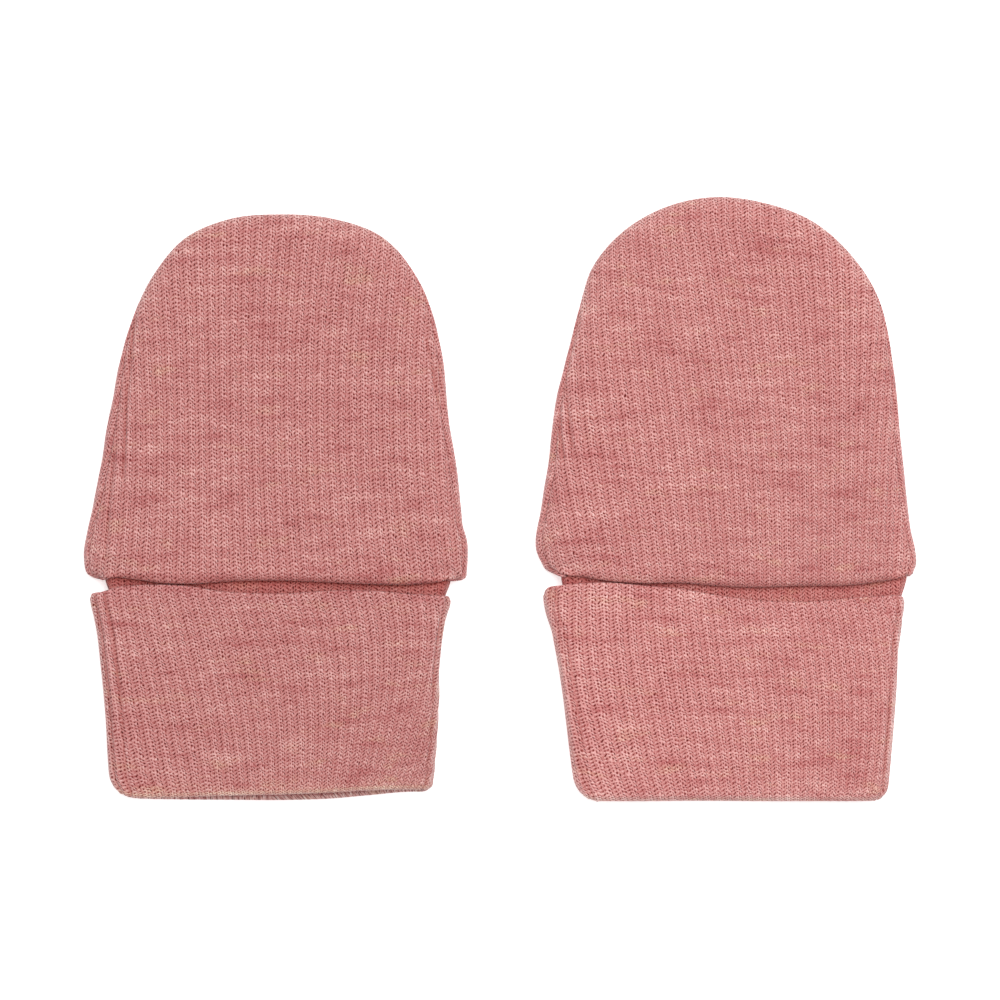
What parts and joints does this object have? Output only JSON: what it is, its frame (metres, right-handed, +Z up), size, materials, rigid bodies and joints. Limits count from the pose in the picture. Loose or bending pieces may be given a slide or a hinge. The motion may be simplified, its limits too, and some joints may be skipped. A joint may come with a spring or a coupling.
{
  "type": "pair of wool mittens",
  "caption": "Pair of baby mittens in melange rose rib-knit wool, thumbless, with long turned-up cuffs, laid flat side by side.",
  "frame": {"origin": "middle of the pair's footprint, on the table that it lies on", "axes": "+X across the pair from the left mitten to the right one, +Y along the mittens towards the fingertips, +Z up from the table"},
  "size_m": [0.1848, 0.1346, 0.006],
  "materials": {
    "hand_knit": "soft matt rib-knit wool, melange rose",
    "cuff_knit": "soft matt rib-knit wool, melange rose"
  },
  "bodies": {
    "root": {"left_hand_front": "hand_knit", "left_hand_back": "hand_knit", "left_cuff": "cuff_knit", "right_hand_front": "hand_knit", "right_hand_back": "hand_knit", "right_cuff": "cuff_knit"}
  },
  "joints": []
}
